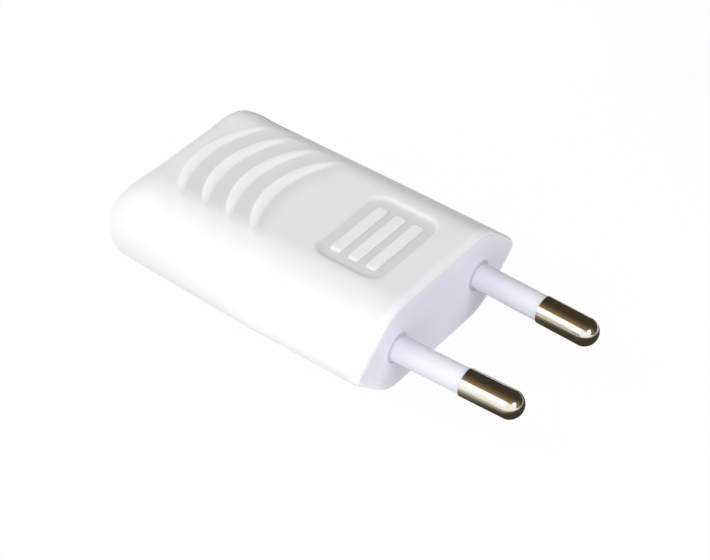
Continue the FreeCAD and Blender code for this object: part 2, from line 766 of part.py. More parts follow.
def make_sleeve(name, side):
    """The insulating sleeve on a pin's neck, from the terminal barrel to the bare tip."""
    body = new_body(name)
    shape = new_sketch(body, "XY", "sleeve_profile")
    inner = "dims.neck_diameter / 2 + dims.sleeve_play"
    outer = "dims.sleeve_diameter / 2"
    outline(
        shape,
        [
            (f"-{BARREL_FRONT}", inner),
            ("dims.sleeve_length", inner),
            ("dims.sleeve_length", outer),
            (f"-{BARREL_FRONT}", outer),
        ],
    )
    turn_about(body, "Revolution", "tube", shape, "H_Axis")
    lean_with_pin(body, side)
    return body


def cut_slot(body, place, across, top, length):
    """A driver slot across the top of an upright screw."""
    slot = new_sketch(body, "XY", "slot_outline", top)
    bind(slot, "AttachmentOffset.Base.y", across)
    box_spot(slot, f"-{place}", "dims.slot_width", length)
    raise_from(body, "Pocket", "slot", slot, "dims.slot_depth")


def make_clamp_screw(name, side):
    """A slotted screw that pulls the clamp bar down."""
    body = new_body(name)
    across = f"{side} * {CLAMP_PITCH} / 2"
    shape = new_sketch(body, "XZ", "screw_profile", f"-({across})")
    bind(shape, "AttachmentOffset.Base.x", f"-{CLAMP_PLACE}")
    head = "dims.clamp_head / 2"
    shank = "dims.clamp_shank / 2"
    top = f"({BAR_TOP} + dims.clamp_head_height)"
    tip = f"({BAR_TOP} - dims.clamp_reach)"
    outline(
        shape,
        [
            ("0", tip),
            (f"{shank} - dims.head_edge", tip),
            (shank, f"{tip} + dims.head_edge"),
            (shank, BAR_TOP),
            (head, BAR_TOP),
            (head, f"{top} - dims.head_edge"),
            (f"{head} - dims.head_edge", top),
            ("0", top),
        ],
    )
    turn_about(body, "Revolution", "turned", shape, "V_Axis")
    cut_slot(body, CLAMP_PLACE, across, top, "dims.clamp_head")
    return body


def make_terminal_screw(name, side):
    """The headless screw that clamps a conductor in a pin's barrel."""
    body = new_body(name)
    shape = new_sketch(body, "XZ", "screw_profile")
    bind(shape, "AttachmentOffset.Base.x", "-dims.terminal_place")
    radius = "dims.terminal_shank / 2"
    top = "(dims.barrel_diameter / 2)"
    tip = f"({top} - dims.terminal_length)"
    outline(
        shape,
        [
            ("0", tip),
            (f"{radius} - dims.head_edge", tip),
            (radius, f"{tip} + dims.head_edge"),
            (radius, top),
            ("0", top),
        ],
    )
    turn_about(body, "Revolution", "turned", shape, "V_Axis")
    cut_slot(body, "dims.terminal_place", "0", top, "dims.terminal_shank")
    lean_with_pin(body, side)
    return body


def make_clamp_bar():
    """The bridge over the cord."""
    body = new_body("cord_clamp_bar")
    shape = new_sketch(body, "YZ", "bar_outline", f"-{CLAMP_PLACE}")
    half = "dims.bar_length / 2"
    arch = "dims.bar_arch_width / 2"
    foot = "dims.clamp_boss_top"
    crown = f"({foot} + dims.bar_arch)"
    outline(
        shape,
        [
            (half, foot),
            (half, BAR_TOP, "dims.bar_edge"),
            (f"-{half}", BAR_TOP, "dims.bar_edge"),
            (f"-{half}", foot),
            (f"-{arch}", foot),
            (f"dims.bar_arch - {arch}", crown),
            (f"{arch} - dims.bar_arch", crown),
            (arch, foot),
        ],
    )
    raise_from(body, "Pad", "bar", shape, "dims.bar_width", both=True)
    holes = new_sketch(body, "XY", "bar_hole_outline", BAR_TOP)
    for side in (1, -1):
        round_spot(holes, f"-{CLAMP_PLACE}", f"{side} * {CLAMP_PITCH} / 2", "dims.bar_hole")
    raise_from(body, "Pocket", "bar_holes", holes, "dims.bar_thick")
    return body


def make_housing_screw():
    """The countersunk cross-recessed screw that holds the hood on the carrier."""
    body = new_body("housing_screw")
    shape = new_sketch(body, "XZ", "screw_profile")
    bind(shape, "AttachmentOffset.Base.x", "-dims.housing_place")
    head = "dims.housing_head / 2"
    shank = "dims.housing_shank / 2"
    low = f"({HALF_HEIGHT} - dims.housing_sink)"
    outline(
        shape,
        [
            ("0", f"-{low}"),
            (head, f"-{low}"),
            (shank, f"{head} - {shank} - {low}"),
            (shank, f"dims.housing_length - dims.tip_length - {low}"),
            ("dims.tip_flat", f"dims.housing_length - {low}"),
            ("0", f"dims.housing_length - {low}"),
        ],
    )
    turn_about(body, "Revolution", "turned", shape, "V_Axis")
    for name, long, wide in (
        ("recess", "dims.recess_length", "dims.recess_width"),
        ("cross_recess", "dims.recess_width", "dims.recess_length"),
    ):
        cross = new_sketch(body, "XY", f"{name}_outline", f"-{low}")
        box_spot(cross, "-dims.housing_place", long, wide)
        raise_from(body, "Pocket", name, cross, "dims.recess_depth", back=True)
    return body


pieces = [make_hood(), make_carrier(), make_clamp_bar(), make_housing_screw()]
for hand, side in (("left", 1), ("right", -1)):
    pieces.append(make_pin(f"{hand}_pin", side))
    pieces.append(make_sleeve(f"{hand}_pin_sleeve", side))
    pieces.append(make_terminal_screw(f"{hand}_terminal_screw", side))
    pieces.append(make_clamp_screw(f"{hand}_clamp_screw", side))

doc.recompute()
for thing in doc.Objects:
    if "Invalid" in thing.State or "Error" in thing.State:
        raise ValueError(f"{thing.Name}: {thing.State}")
os.makedirs("parts", exist_ok=True)
for piece in pieces:
    if piece.Shape.isNull() or not piece.Shape.isValid():
        raise ValueError(f"{piece.Label}: bad shape")
    piece.Shape.exportStep(f"parts/{piece.Label}.step")
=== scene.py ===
import math
from collections import namedtuple

import bmesh
import bpy
from bpy.props import FloatProperty, FloatVectorProperty, IntProperty, PointerProperty
from bpy.types import Operator, Panel, PropertyGroup
from mathutils import Matrix, Vector


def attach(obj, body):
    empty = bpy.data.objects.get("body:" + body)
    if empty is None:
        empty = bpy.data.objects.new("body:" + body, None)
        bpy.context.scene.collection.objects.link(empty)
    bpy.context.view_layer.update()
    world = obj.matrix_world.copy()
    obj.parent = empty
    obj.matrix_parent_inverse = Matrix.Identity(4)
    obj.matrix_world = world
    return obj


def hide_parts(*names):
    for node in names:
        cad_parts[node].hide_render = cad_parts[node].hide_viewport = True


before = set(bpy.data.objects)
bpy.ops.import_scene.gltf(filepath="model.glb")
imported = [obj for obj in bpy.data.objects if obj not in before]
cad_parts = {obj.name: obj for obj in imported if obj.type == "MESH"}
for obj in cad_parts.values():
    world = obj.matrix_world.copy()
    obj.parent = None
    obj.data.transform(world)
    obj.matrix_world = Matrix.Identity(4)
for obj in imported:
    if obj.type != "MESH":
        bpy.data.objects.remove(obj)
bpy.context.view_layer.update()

bl_info = {
    "name": "Flat Mains Plug",
    "version": (1, 0, 0),
    "blender": (4, 5, 0),
    "location": "View3D > Sidebar > Plug",
    "description": "Dresses the flat two-pin mains plug in moulded plastics and plated metal",
    "category": "Object",
}

BODY = "root"
MILLIMETRE = 0.001

# Meshes.
MERGE = 1e-6  # points nearer than this are one point
RUB = 0.5  # how far one rub moves a point towards its neighbours
COLLAR_STEPS = 72  # faces round a collar
CORNER_STEPS = 6  # points on a bar's round corner
SIDE_SHARE = 0.55  # upright share of a bar's side
TOP_SCALE = 0.94  # a bar's top beside its foot

# Plastics.
PLASTIC_IOR = 1.5
CLOUDS = 6.0 * MILLIMETRE  # size of the faint patches in the white
CLOUD_EDGES = (0.3, 0.7)  # where a patch starts and is full
CLOUD_SHADE = 0.98  # white between the patches beside that of the patches
GLOSS_PATCH = 2.4 * MILLIMETRE  # size of the patches of more and less gloss
GLOSS_SPREAD = 0.1  # how far the roughness differs between them
ERODED_DULL = 0.2  # roughness that the rough ground adds
ERODED_GRAIN = 1.5  # extra height of the grain on it

# Edges of the hood's rough areas, greyed with painted shade, and of its areas of painted
# highlight.
FADE = 0.1 * MILLIMETRE  # a crisp edge
RIB_FOOT = 0.02 * MILLIMETRE  # height above the top at which a rib's painted highlight starts
RIB_BRIGHT = 0.4  # share of a rib's height at which its painted highlight is full
PANEL_EDGE = 0.05 * MILLIMETRE  # depth below the top at which the rough floor ends
RIM_BRIGHT = 0.2  # share of the rim, from the mouth, that gets the full painted highlight
RIM_HIGHLIGHT = 0.9  # how much painted highlight it gets there

# Metals.
SMEARS = 1.6 * MILLIMETRE  # size of the smears in the plate
SMEAR_EDGES = (0.45, 0.75)  # where a smear starts and is full
SMEAR_WARMTH = (1.0, 0.93, 0.8)  # colour of a smear beside the plate's own
SMEAR_GLOSS = 0.05  # roughness taken off everywhere
SMEAR_DULL = 0.12  # roughness that a smear adds
TURNING_DEPTH = 0.0015 * MILLIMETRE  # depth of the turning marks

# Stage.
WHITE = (1.0, 1.0, 1.0)
COOL = (0.88, 0.89, 1.0)
UP, DOWN = (0.0, 0.0, 1.0), (0.0, 0.0, -1.0)
NEAR, BACK = (0.0, -1.0, 0.0), (-1.0, 0.0, 0.0)
FLOOR_SIDE = 6.0
FLOOR_HEIGHT = -0.05 * MILLIMETRE  # just under the plug
FLOOR_MATT = (0.85, 0.85, 0.85)
FLOOR_SHINE = 0.97  # share of plain white in what is seen of the floor
DUSK_LEAN = (0.9, 0.3)  # how far the dusk lies on the far side and overhead
DUSK_EDGE = 0.4  # where it is full
HIGHLIGHT_FAR = 0.6  # distance of the two glowing cards that paint the pins' highlights
SENSOR = 36.0
CLIP_START = 0.01


def length(name, description, millimetres):
    """A length property, given in millimetres and kept in metres."""
    return FloatProperty(name=name, description=description, default=millimetres * MILLIMETRE,
                         min=0.0, precision=5, unit="LENGTH")


def amount(name, description, default, top=1.0):
    """A plain number from nothing up to its top."""
    return FloatProperty(name=name, description=description, default=default, min=0.0, max=top)


def number(name, description, default, least):
    """A whole number."""
    return IntProperty(name=name, description=description, default=default, min=least)


def angle(name, description, degrees):
    """An angle property, given in degrees and kept in radians."""
    return FloatProperty(name=name, description=description, default=math.radians(degrees),
                         subtype="ANGLE", unit="ROTATION")


def tint(name, description, red, green, blue):
    """A linear colour property."""
    return FloatVectorProperty(name=name, description=description, default=(red, green, blue),
                               size=3, min=0.0, max=1.0, subtype="COLOR")


def point(name, description, *metres):
    """A place in the plug's own frame."""
    return FloatVectorProperty(name=name, description=description, default=metres,
                               size=3, subtype="XYZ", unit="LENGTH")


class PlugPlastics(PropertyGroup):
    """Colours and skins of the moulded pieces."""

    hood_colour: tint("Hood", "Satin white of the hood", 0.86, 0.86, 0.855)
    carrier_colour: tint("Carrier", "Cool white of the pin carrier", 0.845, 0.855, 0.91)
    sleeve_colour: tint("Sleeves", "Cool white of the pin sleeves", 0.815, 0.825, 0.88)
    # Painted shade: this grey is laid on the sunk ground between the ribs and on the panel's
    # floor.
    ground_shade_colour: tint("Ground", "Greyer white where the mould was left rough",
                        0.73, 0.73, 0.715)
    # Painted highlight: this brighter white is laid on the ribs and on the rim round the mouth.
    painted_highlight_colour: tint("Polished", "Brighter white of the polished ribs and rim",
                          0.95, 0.95, 0.95)
    hood_roughness: amount("Hood roughness", "How dull the hood's skin is", 0.42)
    carrier_roughness: amount("Carrier roughness", "How dull the carrier's skin is", 0.5)
    grain: length("Grain", "Pitch of the fine texture that the mould leaves", 0.22)
    grain_height: length("Grain height", "Height of that texture", 0.004)


class PlugHood(PropertyGroup):
    """How soft the hood's edges come out of the mould, and where its ribs stand."""

    skin: length("Skin", "Size of the cells that the hood's skin is drawn with", 0.27)
    rubs: number("Rubs", "How often the edges are rubbed soft", 6, 0)
    kept: amount("Kept", "Share of the skin's triangles that is kept, most where it curves", 0.76)
    corner: point("Rear corner", "Middle of a rear corner's extra rounding",
                  -0.0295, 0.0115, 0.0130)
    corner_core: length("Corner core", "Reach of the full rounding round a rear corner", 2.5)
    corner_reach: length("Corner reach", "Where that rounding has faded out", 6.0)
    corner_rubs: number("Corner rubs", "How often the rear corners are rubbed", 220, 0)
    corner_fill: length("Corner fill", "What is put back on a rear corner after rubbing", 0.2)
    top: length("Top", "Height of the hood's flat top", 14.4)
    flat_half: length("Flat", "Half the breadth of the flat top, creases included", 10.4)
    mouth: length("Mouth", "Distance from the origin to the hood's front edge", 13.45)
    # Painted highlight: the rim round the mouth is brightened over this breadth.
    rim: length("Rim", "Breadth of the polished rim round the mouth", 1.7)
    rib_count: number("Ribs", "Number of finger ribs", 4, 1)
    rib_front: FloatProperty(name="Front rib", description="Place of the front rib's middle",
                             default=-13.6 * MILLIMETRE, precision=5, unit="LENGTH")
    rib_pitch: length("Rib pitch", "Distance from rib to rib", 4.11)
    rib_radius: length("Rib radius", "Radius of the arc that a rib follows", 15.4)
    rib_width: length("Rib width", "Breadth of a rib", 1.75)
    rib_height: length("Rib height", "How far a rib stands up", 0.45)
    # Painted shade: how strongly the ground between the ribs is greyed.
    rib_ground_shade: amount("Rib ground", "How greyed the ground between the ribs is", 0.85)
    run_out: length("Run-out", "How far the rough ground fades before the front rib", 3.0)


class PlugCollars(PropertyGroup):
    """The flared roots that the sleeves stand on, in a darker white that paints the shadow round
    each root.
    """

    face: length("Face", "Distance from the origin to the face that the pins come out of", 13.45)
    spread: length("Spread", "Distance of a pin's root from the middle plane", 9.3)
    height: length("Height", "Height of the pins above the underside", 7.2)
    lean: angle("Lean", "How far the pins lean towards each other", 1.658)
    inner: length("Inner radius", "Where a collar meets its sleeve", 1.83)
    outer: length("Outer radius", "Where a collar meets the wall of its hole", 2.155)
    depth: length("Depth", "How deep a collar goes into its hole", 0.9)
    sunk: length("Sunk", "How far a collar's rim lies below the face", 0.04)
    flare: length("Flare", "How far a collar runs out along its sleeve", 0.1)
    # Painted shadow: this darker white stands in for the shade round each sleeve's root.
    colour: tint("Collars", "Darker white of the collars", 0.64, 0.64, 0.71)


class PlugSeam(PropertyGroup):
    """The thin lip that closes the joint between the carrier's plate and the hood."""

    sunk: length("Sunk", "How far the lip lies behind the plate's face", 0.012)
    outward: length("Outward", "How far the lip reaches past the plate's edge", 0.75)
    inward: length("Inward", "How far the lip reaches behind the plate", 0.3)
    colour: tint("Lip", "White of the lip, between the hood's and the carrier's",
                 0.88, 0.885, 0.93)


class PlugMetals(PropertyGroup):
    """Colours and turning marks of the metal pieces."""

    pin_colour: tint("Pins", "Bright nickel plate over brass", 0.90, 0.87, 0.79)
    screw_colour: tint("Screws", "Bright zinc plate", 0.66, 0.67, 0.68)
    pin_roughness: amount("Pin roughness", "How dull the plate on the pins is", 0.16)
    screw_roughness: amount("Screw roughness", "How dull the plate on the screws is", 0.3)
    turning: length("Turning pitch", "Pitch of the marks left by turning", 0.11)


class PlugLabel(PropertyGroup):
    """The plain raised bars in the sunk panel."""

    colour: tint("Bars", "White of the raised bars", 0.91, 0.91, 0.91)
    count: number("Bars", "Number of raised bars", 3, 1)
    reach: length("Length", "Length of a bar across the plug", 11.2)
    breadth: length("Breadth", "Breadth of a bar", 1.6)
    corner: length("Corner", "Radius of a bar's corners", 0.45)
    height: length("Height", "Height of a bar from its foot, sunk a little into the floor", 0.31)
    pitch: length("Pitch", "Distance from bar to bar", 2.9)
    half_width: length("Half width", "Half the breadth of the panel", 7.4)
    half_length: length("Half length", "Half the length of the panel along the plug", 5.3)
    middle: point("Middle", "Middle of the bars' feet, just under the panel's floor",
                  0.00295, 0.0, 0.01390)


class PlugStage(PropertyGroup):
    """Camera and light."""

    azimuth: angle("Azimuth", "Camera's turn round the plug", 34.673)
    elevation: angle("Elevation", "Camera's height above the horizon", 40.641)
    roll: angle("Roll", "Camera's turn about its own line of sight", 3.176)
    distance: length("Distance", "From the camera to the point that it looks at", 298.894)
    lens: FloatProperty(name="Lens", description="Focal length on a full frame", default=113.94,
                        unit="CAMERA")
    target: point("Target", "Point that the camera looks at", 0.001189, -0.002072, 0.0072)
    near_power: amount("Near lamp", "Power of the low lamp on the near side", 0.98, 50.0)
    key_power: amount("Key lamp", "Power of the lamp behind the near corner", 1.45, 50.0)
    front_power: amount("Front lamp", "Power of the cool lamp in front of the pins", 1.42, 50.0)
    lamp_side: length("Lamp side", "Side of each square lamp", 450.0)
    lamp_far: length("Lamp distance", "From the plug to each lamp", 700.0)
    sky: amount("Sky", "Level of the even light from the near side", 0.79, 5.0)
    dusk: amount("Dusk", "Level of the light from above and behind", 0.50, 5.0)


class Value:
    """A socket that takes part in Python arithmetic, each step of which adds a Math node."""

    def __init__(self, nodes, socket):
        self.nodes = nodes
        self.socket = socket

    def _maths(self, operation, *terms):
        return self.nodes.node("ShaderNodeMath", {"operation": operation}, dict(enumerate(terms)))

    def __add__(self, other):
        return self._maths("ADD", self, other)

    def __sub__(self, other):
        return self._maths("SUBTRACT", self, other)

    def __mul__(self, other):
        return self._maths("MULTIPLY", self, other)

    def __truediv__(self, other):
        return self._maths("DIVIDE", self, other)

    def __radd__(self, other):
        return self._maths("ADD", other, self)

    def __rsub__(self, other):
        return self._maths("SUBTRACT", other, self)

    def __rmul__(self, other):
        return self._maths("MULTIPLY", other, self)

    def __rtruediv__(self, other):
        return self._maths("DIVIDE", other, self)

    def __abs__(self):
        return self._maths("ABSOLUTE", self)

    def step(self, low, high):
        """Nothing below low, one above high and a smooth rise between them."""
        return self.nodes.node("ShaderNodeMapRange", {"interpolation_type": "SMOOTHSTEP"},
                               {"Value": self, "From Min": low, "From Max": high})

    def beside(self, output):
        """Another output of the same node."""
        return Value(self.nodes, self.socket.node.outputs[output])


class Nodes:
    """A node tree that is filled node by node."""

    def __init__(self, tree):
        self.tree = tree

    def put(self, socket, value):
        """Sets or links one socket."""
        if isinstance(value, Value):
            self.tree.links.new(value.socket, socket)
        elif hasattr(socket.default_value, "__len__") and len(socket.default_value) == 4:
            socket.default_value = (*value, 1.0)
        else:
            socket.default_value = value

    def node(self, kind, settings=None, inputs=None, output=0):
        """Adds a node: its settings first, then the values or links of its sockets."""
        made = self.tree.nodes.new(kind)
        for name, value in (settings or {}).items():
            setattr(made, name, value)
        for key, value in (inputs or {}).items():
            self.put(made.inputs[key], value)
        return Value(self, made.outputs[output])

    def parts(self, vector):
        """The three parts of a vector."""
        return [self.node("ShaderNodeSeparateXYZ", None, {0: vector}, axis) for axis in "XYZ"]

    def noise(self, place, size, detail=2.0):
        """Cloudy values round one half, with blobs of the given size."""
        return self.node("ShaderNodeTexNoise", None,
                         {"Vector": place, "Scale": 1.0 / size, "Detail": detail})

    def blend(self, first, second, mask):
        """One colour where the mask is nothing, the other where it is one."""
        return self.node("ShaderNodeMix", {"data_type": "RGBA"}, {0: mask, 6: first, 7: second}, 2)

    def seen(self):
        """One for a ray from the camera, a reflection or a clear surface."""
        rays = [self.node("ShaderNodeLightPath", None, None, kind)
                for kind in ("Is Camera Ray", "Is Glossy Ray", "Is Transmission Ray")]
        return rays[0] + rays[1] + rays[2]


class Finish(Nodes):
    """A node material for one of the plug's finishes."""

    def __init__(self, name, **constants):
        self.material = bpy.data.materials.new(name)
        self.material.use_nodes = True
        super().__init__(self.material.node_tree)
        self.shader = self.tree.nodes["Principled BSDF"]
        for socket, value in constants.items():
            self.shader.inputs[socket].default_value = value
        self.place = self.node("ShaderNodeTexCoord", None, None, "Object")

    def bump(self, height, depth):
        """A normal for a fine relief of that depth in metres."""
        return self.node("ShaderNodeBump", None, {"Height": height, "Distance": depth})

    def wear(self, **links):
        """Links what changes over the surface to the shader."""
        for name, value in links.items():
            self.put(self.shader.inputs[name.replace("_", " ")], value)
        return self.material

    def surface(self, shader):
        """Puts another shader in place of the plastic one."""
        self.put(self.tree.nodes["Material Output"].inputs["Surface"], shader)
        self.tree.nodes.remove(self.shader)
        return self.material


def moulded_plastic(name, colour, roughness, skins, areas=None):
    """Moulded plastic with a fine grain; rough areas are duller and greyed with painted shade, and
    areas of painted highlight are brighter.
    """
    finish = Finish(name, IOR=PLASTIC_IOR)
    clouds = finish.noise(finish.place, CLOUDS, detail=3.0)
    grain = finish.noise(finish.place, skins.grain, detail=4.0)
    shaded = [CLOUD_SHADE * part for part in colour]
    base = finish.blend(shaded, colour, clouds.step(*CLOUD_EDGES))
    gloss = finish.noise(finish.place, GLOSS_PATCH)
    dull = roughness - GLOSS_SPREAD / 2.0 + GLOSS_SPREAD * gloss
    height = grain
    if areas:
        eroded_and_shaded, painted_highlight = areas(finish)
        # Painted shade greys the rough ground, which is also duller and grainier; painted
        # highlight brightens the ribs and the rim.
        base = finish.blend(base, skins.ground_shade_colour, eroded_and_shaded)
        base = finish.blend(base, skins.painted_highlight_colour, painted_highlight)
        dull = dull + ERODED_DULL * eroded_and_shaded
        height = grain * (1.0 + ERODED_GRAIN * eroded_and_shaded)
    return finish.wear(Base_Color=base, Roughness=dull,
                       Normal=finish.bump(height, skins.grain_height))


def hood_areas(sizes, label):
    """Where the hood is rough and greyed with painted shade, between the ribs and in the panel,
    and where it is brightened with painted highlight.
    """

    def masks(finish):
        x, y, z = finish.parts(finish.place)
        side, along = abs(y), abs(x - label.middle[0])
        bow = x - sizes.rib_front - y * y / (2.0 * sizes.rib_radius)
        half = sizes.rib_width / 2.0
        rows = sizes.rib_pitch * (sizes.rib_count - 1)
        within = bow.step(-rows - half, -rows + half) * (
            1.0 - bow.step(half, half + sizes.run_out))
        flat = 1.0 - side.step(sizes.flat_half - sizes.run_out, sizes.flat_half)
        raised = z.step(sizes.top + RIB_FOOT, sizes.top + RIB_BRIGHT * sizes.rib_height)
        # Painted shade between the ribs, fading out before the front rib and towards the creases.
        between = sizes.rib_ground_shade * within * flat * (1.0 - raised)
        foot = label.middle[2]
        sunk = 1.0 - z.step(foot + FADE, sizes.top - PANEL_EDGE)
        inside = (1.0 - side.step(label.half_width, label.half_width + FADE)) * (
            1.0 - along.step(label.half_length, label.half_length + FADE))
        upper = z.step(foot - 3.0 * FADE, foot - FADE)
        # Painted highlight fades in over the rim towards the mouth, and lies on the ribs.
        rim = x.step(sizes.mouth - sizes.rim, sizes.mouth - RIM_BRIGHT * sizes.rim)
        return upper * (between + sunk * inside), raised + RIM_HIGHLIGHT * rim

    return masks


def turned_metal(name, colour, roughness, pitch):
    """Plated metal with the fine rings that turning leaves round its length."""
    finish = Finish(name, Metallic=1.0)
    along = finish.parts(finish.place)[0]
    rings = finish.node("ShaderNodeTexNoise", {"noise_dimensions": "1D"},
                        {"W": along / pitch, "Scale": 1.0, "Detail": 2.0})
    smears = finish.noise(finish.place, SMEARS, detail=3.0)
    warm = [part * share for part, share in zip(colour, SMEAR_WARMTH)]
    return finish.wear(
        Base_Color=finish.blend(colour, warm, smears.step(*SMEAR_EDGES)),
        Roughness=roughness - SMEAR_GLOSS + SMEAR_DULL * smears,
        Normal=finish.bump(rings, TURNING_DEPTH),
    )


def dress(material, *nodes):
    """Gives CAD nodes their finish."""
    for name in nodes:
        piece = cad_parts[name]
        piece.data.materials.clear()
        piece.data.materials.append(material)


def finished(piece, slot, *nodes):
    """Hands a piece over to the frame."""
    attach(piece, BODY)
    if nodes:
        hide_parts(*nodes)


def settle(piece):
    """Turns what a piece's modifiers make into its plain mesh."""
    shape = piece.evaluated_get(bpy.context.evaluated_depsgraph_get())
    mesh = bpy.data.meshes.new_from_object(shape)
    piece.modifiers.clear()
    piece.data = mesh


def add_object(name, data):
    """Puts a new mesh, lamp or camera in the scene."""
    made = bpy.data.objects.new(name, data)
    bpy.context.scene.collection.objects.link(made)
    return made


def merged(mesh):
    """A CAD node's loose triangles, joined where they meet."""
    shape = bmesh.new()
    shape.from_mesh(mesh)
    bmesh.ops.remove_doubles(shape, verts=shape.verts, dist=MERGE)
    return shape


class PLUG_OT_hood(Operator):
    """Make the hood's soft moulded skin"""

    bl_idname = "plug.hood"
    bl_label = "Hood"

    def execute(self, context):
        sizes = context.scene.plug_hood
        skins = context.scene.plug_plastics
        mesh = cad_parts["hood"].data.copy()
        shape = merged(mesh)
        shape.to_mesh(mesh)
        shape.free()
        hood = add_object("soft_hood", mesh)
        skin = hood.modifiers.new("skin", "REMESH")
        skin.mode = "VOXEL"
        skin.voxel_size = sizes.skin
        skin.use_smooth_shade = True
        self.rub(hood, sizes.rubs)
        thin = hood.modifiers.new("thin", "DECIMATE")
        thin.ratio = sizes.kept
        settle(hood)
        self.round_corners(hood, sizes)
        hood.data.materials.clear()
        hood.data.materials.append(
            moulded_plastic("hood_plastic", skins.hood_colour, skins.hood_roughness, skins,
                            hood_areas(sizes, context.scene.plug_label)))
        finished(hood, "hood_plastic", "hood")
        return {"FINISHED"}

    def rub(self, hood, times):
        """Rubs the skin soft."""
        rub = hood.modifiers.new("rub", "SMOOTH")
        rub.factor = RUB
        rub.iterations = times
        return rub

    def round_corners(self, hood, sizes):
        """Makes the outer skin fuller and rounder at the two upper rear corners."""
        group = hood.vertex_groups.new(name="corners")
        spot = Vector(sizes.corner)
        heart = Vector((0.0, 0.0, sizes.top / 2.0))
        fading = sizes.corner_reach - sizes.corner_core
        for vertex in hood.data.vertices:
            place = Vector((vertex.co.x, abs(vertex.co.y), vertex.co.z))
            share = 1.0 - ((place - spot).length - sizes.corner_core) / fading
            # The skin inside the hood faces its heart and is left alone.
            if share > 0.0 and vertex.normal.dot(vertex.co - heart) > 0.0:
                share = min(share, 1.0)
                group.add([vertex.index], share * share * (3.0 - 2.0 * share), "REPLACE")
        self.rub(hood, sizes.corner_rubs).vertex_group = group.name
        fill = hood.modifiers.new("fill", "DISPLACE")
        fill.strength = sizes.corner_fill
        fill.mid_level = 0.0
        fill.vertex_group = group.name
        settle(hood)
        hood.vertex_groups.clear()


class PLUG_OT_label(Operator):
    """Raise the plain bars on the floor of the panel"""

    bl_idname = "plug.label"
    bl_label = "Label bars"

    def execute(self, context):
        sizes = context.scene.plug_label
        skins = context.scene.plug_plastics
        bars = add_object("label_bars", bpy.data.meshes.new("label_bars"))
        paint = moulded_plastic("label_plastic", sizes.colour, skins.hood_roughness, skins)
        tree = self.tree(paint)
        grow = bars.modifiers.new("bars", "NODES")
        grow.node_group = tree
        for item in tree.interface.items_tree:
            if item.in_out == "INPUT":
                grow[item.identifier] = getattr(sizes, item.name)
        settle(bars)
        finished(bars, "hood_plastic")
        return {"FINISHED"}

    def tree(self, paint):
        """Bars with round corners and sloping sides, one beside the other."""
        tree = bpy.data.node_groups.new("label_bars", "GeometryNodeTree")
        kinds = {"count": "NodeSocketInt", "middle": "NodeSocketVector"}
        names = ("count", "reach", "breadth", "corner", "height", "pitch", "middle")
        for name in names:
            tree.interface.new_socket(name, in_out="INPUT",
                                      socket_type=kinds.get(name, "NodeSocketFloat"))
        tree.interface.new_socket("Bars", in_out="OUTPUT", socket_type="NodeSocketGeometry")
        nodes = Nodes(tree)
        given = nodes.node("NodeGroupInput")
        count, reach, breadth, corner, height, pitch, middle = map(given.beside, names)
        outline = nodes.node("GeometryNodeCurvePrimitiveQuadrilateral", None,
                             {"Width": breadth, "Height": reach})
        soft = nodes.node("GeometryNodeFilletCurve", {"mode": "POLY"},
                          {"Curve": outline, "Count": CORNER_STEPS, "Radius": corner})
        sheet = nodes.node("GeometryNodeFillCurve", {"mode": "NGONS"}, {"Curve": soft})
        side = nodes.node("GeometryNodeExtrudeMesh", {"mode": "FACES"},
                          {"Mesh": sheet, "Offset Scale": height * SIDE_SHARE,
                           "Individual": False})
        edge = nodes.node("GeometryNodeExtrudeMesh", {"mode": "FACES"},
                          {"Mesh": side, "Selection": side.beside("Top"),
                           "Offset Scale": height * (1.0 - SIDE_SHARE), "Individual": False})
        top = nodes.node("GeometryNodeScaleElements", {"domain": "FACE"},
                         {"Geometry": edge, "Selection": edge.beside("Top"), "Scale": TOP_SCALE})
        start = nodes.node("ShaderNodeCombineXYZ", None, {"X": pitch * (count - 1.0) * -0.5})
        step = nodes.node("ShaderNodeCombineXYZ", None, {"X": pitch})
        first = nodes.node("ShaderNodeVectorMath", {"operation": "ADD"}, {0: start, 1: middle})
        row = nodes.node("GeometryNodeMeshLine", None,
                         {"Count": count, "Start Location": first, "Offset": step})
        placed = nodes.node("GeometryNodeInstanceOnPoints", None, {"Points": row, "Instance": top})
        real = nodes.node("GeometryNodeRealizeInstances", None, {"Geometry": placed})
        done = nodes.node("GeometryNodeSetMaterial", None, {"Geometry": real, "Material": paint})
        nodes.put(tree.nodes.new("NodeGroupOutput").inputs["Bars"], done)
        return tree


class PLUG_OT_carrier(Operator):
    """Give the pin carrier, the cord clamp bar and the sleeves their cool white skins"""

    bl_idname = "plug.carrier"
    bl_label = "Carrier and sleeves"

    def execute(self, context):
        skins = context.scene.plug_plastics
        rough = skins.carrier_roughness
        dress(moulded_plastic("carrier_plastic", skins.carrier_colour, rough, skins),
              "pin_carrier", "cord_clamp_bar")
        dress(moulded_plastic("sleeve_plastic", skins.sleeve_colour, rough, skins),
              "left_pin_sleeve", "right_pin_sleeve")
        return {"FINISHED"}


